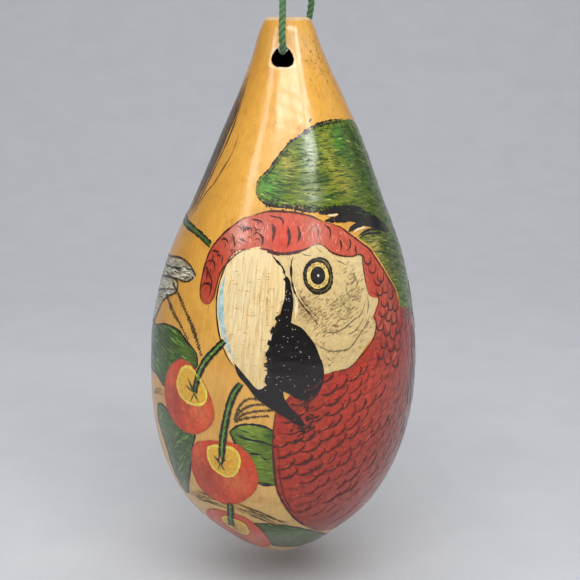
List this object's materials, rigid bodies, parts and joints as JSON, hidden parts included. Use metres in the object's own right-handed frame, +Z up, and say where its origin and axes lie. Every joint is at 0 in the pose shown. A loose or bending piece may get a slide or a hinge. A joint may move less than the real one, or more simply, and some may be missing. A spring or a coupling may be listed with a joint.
{
  "type": "hanging gourd rattle",
  "caption": "Hand-painted pear-shaped gourd rattle, hollow with loose dry seeds inside, hanging by a twisted cord loop through its neck.",
  "frame": {"origin": "inside the top of the cord loop, just under the knot, where the hook bears", "axes": "+Z up along the hanging gourd, -Y the painted front with the front end of the cord hole, +X to the right seen from the front"},
  "size_m": [0.0629, 0.0628, 0.1796],
  "materials": {
    "gourd_skin": "lacquered dried gourd with hand painting and burnt outlines",
    "green_cord": "twisted waxed polyester cord",
    "dry_seed": "dry matt seed husk"
  },
  "bodies": {
    "hanging_loop": {"hanging_cord": "green_cord", "loop_knot": "green_cord"},
    "gourd": {"gourd_shell": "gourd_skin"},
    "seed_01_body": {"seed_01": "dry_seed"},
    "seed_02_body": {"seed_02": "dry_seed"},
    "seed_03_body": {"seed_03": "dry_seed"},
    "seed_04_body": {"seed_04": "dry_seed"},
    "seed_05_body": {"seed_05": "dry_seed"},
    "seed_06_body": {"seed_06": "dry_seed"},
    "seed_07_body": {"seed_07": "dry_seed"},
    "seed_08_body": {"seed_08": "dry_seed"},
    "seed_09_body": {"seed_09": "dry_seed"},
    "seed_10_body": {"seed_10": "dry_seed"},
    "seed_11_body": {"seed_11": "dry_seed"},
    "seed_12_body": {"seed_12": "dry_seed"},
    "seed_13_body": {"seed_13": "dry_seed"},
    "seed_14_body": {"seed_14": "dry_seed"},
    "seed_15_body": {"seed_15": "dry_seed"},
    "seed_16_body": {"seed_16": "dry_seed"},
    "seed_17_body": {"seed_17": "dry_seed"},
    "seed_18_body": {"seed_18": "dry_seed"},
    "seed_19_body": {"seed_19": "dry_seed"},
    "seed_20_body": {"seed_20": "dry_seed"},
    "seed_21_body": {"seed_21": "dry_seed"},
    "seed_22_body": {"seed_22": "dry_seed"},
    "seed_23_body": {"seed_23": "dry_seed"},
    "seed_24_body": {"seed_24": "dry_seed"},
    "seed_25_body": {"seed_25": "dry_seed"}
  },
  "joints": [
    {"name": "gourd_swing", "type": "hinge", "parent": "hanging_loop", "child": "gourd", "pos_m": [0, 0, -0.0451], "axis": [0, 1, 0], "range_deg": [-75, 75]},
    {"name": "seed_01_hop", "type": "slide", "parent": "gourd", "child": "seed_01_body", "axis": [0, 0, 1], "range_m": [0, 0.112]},
    {"name": "seed_02_hop", "type": "slide", "parent": "gourd", "child": "seed_02_body", "axis": [0, 0, 1], "range_m": [0, 0.1]},
    {"name": "seed_03_hop", "type": "slide", "parent": "gourd", "child": "seed_03_body", "axis": [0, 0, 1], "range_m": [0, 0.1]},
    {"name": "seed_04_hop", "type": "slide", "parent": "gourd", "child": "seed_04_body", "axis": [0, 0, 1], "range_m": [0, 0.1]},
    {"name": "seed_05_hop", "type": "slide", "parent": "gourd", "child": "seed_05_body", "axis": [0, 0, 1], "range_m": [0, 0.1]},
    {"name": "seed_06_hop", "type": "slide", "parent": "gourd", "child": "seed_06_body", "axis": [0, 0, 1], "range_m": [0, 0.086]},
    {"name": "seed_07_hop", "type": "slide", "parent": "gourd", "child": "seed_07_body", "axis": [0, 0, 1], "range_m": [0, 0.086]},
    {"name": "seed_08_hop", "type": "slide", "parent": "gourd", "child": "seed_08_body", "axis": [0, 0, 1], "range_m": [0, 0.086]},
    {"name": "seed_09_hop", "type": "slide", "parent": "gourd", "child": "seed_09_body", "axis": [0, 0, 1], "range_m": [0, 0.086]},
    {"name": "seed_10_hop", "type": "slide", "parent": "gourd", "child": "seed_10_body", "axis": [0, 0, 1], "range_m": [0, 0.086]},
    {"name": "seed_11_hop", "type": "slide", "parent": "gourd", "child": "seed_11_body", "axis": [0, 0, 1], "range_m": [0, 0.086]},
    {"name": "seed_12_hop", "type": "slide", "parent": "gourd", "child": "seed_12_body", "axis": [0, 0, 1], "range_m": [0, 0.086]},
    {"name": "seed_13_hop", "type": "slide", "parent": "gourd", "child": "seed_13_body", "axis": [0, 0, 1], "range_m": [0, 0.086]},
    {"name": "seed_14_hop", "type": "slide", "parent": "gourd", "child": "seed_14_body", "axis": [0, 0, 1], "range_m": [0, 0.071]},
    {"name": "seed_15_hop", "type": "slide", "parent": "gourd", "child": "seed_15_body", "axis": [0, 0, 1], "range_m": [0, 0.071]},
    {"name": "seed_16_hop", "type": "slide", "parent": "gourd", "child": "seed_16_body", "axis": [0, 0, 1], "range_m": [0, 0.071]},
    {"name": "seed_17_hop", "type": "slide", "parent": "gourd", "child": "seed_17_body", "axis": [0, 0, 1], "range_m": [0, 0.071]},
    {"name": "seed_18_hop", "type": "slide", "parent": "gourd", "child": "seed_18_body", "axis": [0, 0, 1], "range_m": [0, 0.071]},
    {"name": "seed_19_hop", "type": "slide", "parent": "gourd", "child": "seed_19_body", "axis": [0, 0, 1], "range_m": [0, 0.071]},
    {"name": "seed_20_hop", "type": "slide", "parent": "gourd", "child": "seed_20_body", "axis": [0, 0, 1], "range_m": [0, 0.071]},
    {"name": "seed_21_hop", "type": "slide", "parent": "gourd", "child": "seed_21_body", "axis": [0, 0, 1], "range_m": [0, 0.071]},
    {"name": "seed_22_hop", "type": "slide", "parent": "gourd", "child": "seed_22_body", "axis": [0, 0, 1], "range_m": [0, 0.071]},
    {"name": "seed_23_hop", "type": "slide", "parent": "gourd", "child": "seed_23_body", "axis": [0, 0, 1], "range_m": [0, 0.071]},
    {"name": "seed_24_hop", "type": "slide", "parent": "gourd", "child": "seed_24_body", "axis": [0, 0, 1], "range_m": [0, 0.071]},
    {"name": "seed_25_hop", "type": "slide", "parent": "gourd", "child": "seed_25_body", "axis": [0, 0, 1], "range_m": [0, 0.071]}
  ]
}
